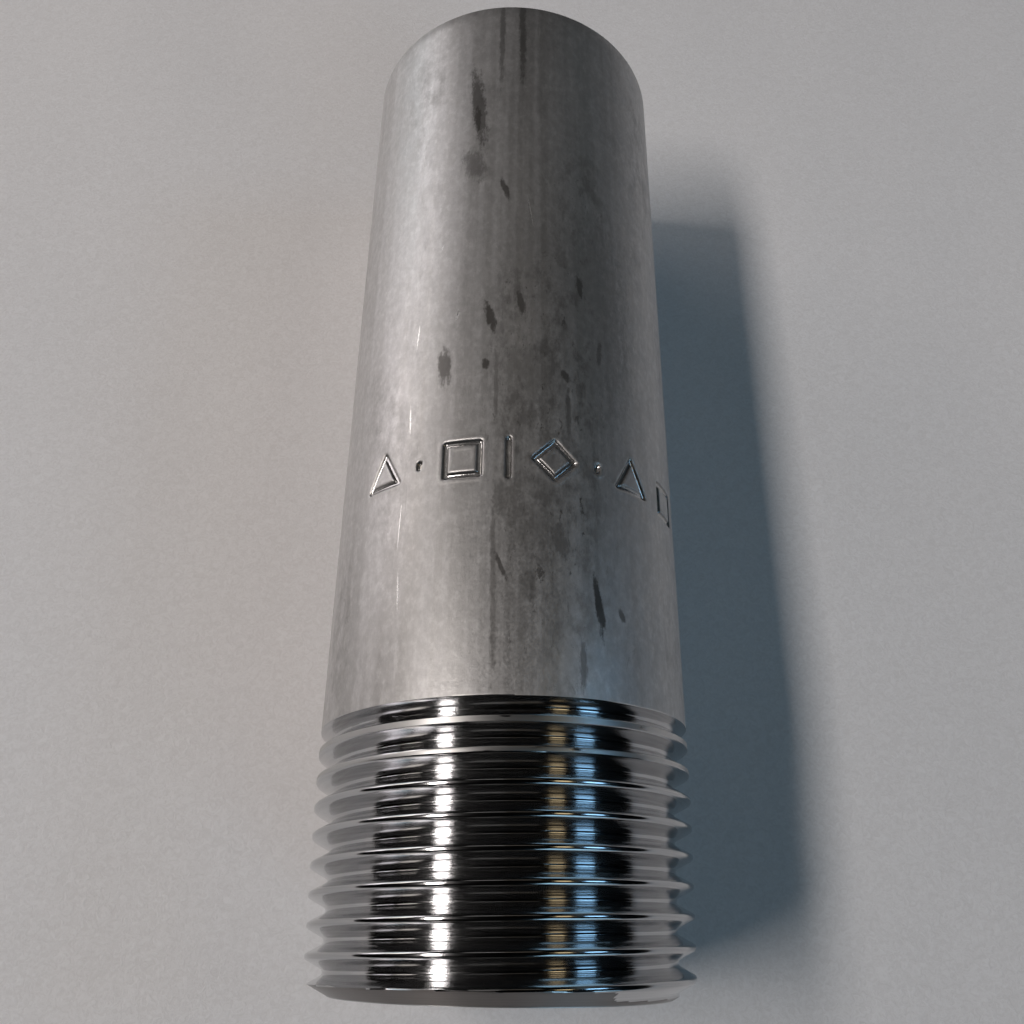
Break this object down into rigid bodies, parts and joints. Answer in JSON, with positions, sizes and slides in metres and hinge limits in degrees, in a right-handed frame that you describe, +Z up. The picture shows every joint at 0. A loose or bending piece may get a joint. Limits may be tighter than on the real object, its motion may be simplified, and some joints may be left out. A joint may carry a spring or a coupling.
{
  "type": "threaded pipe nipple",
  "caption": "Straight steel pipe nipple with a male taper thread on one end and a plain, square-cut weld end on the other.",
  "frame": {"origin": "centre of the threaded end's face, on the axis of the bore", "axes": "+Y along the bore from the threaded end to the plain end; +Z up, square to the bore, towards the row of punched bench marks; +X to the right when looking along +Y"},
  "size_m": [0.0334, 0.1, 0.0334],
  "materials": {
    "mill_skin": "drawn and pickled stainless pipe skin, fine lengthwise streaks, dull grey with darker rub marks",
    "cut_steel": "turned stainless steel, bright, fine turning marks round the axis",
    "thread_crests": "freshly cut stainless thread, near mirror in the grooves, light grey on the crests"
  },
  "bodies": {
    "root": {"barrel": "mill_skin", "thread_core": "cut_steel", "thread": "thread_crests"}
  },
  "joints": []
}
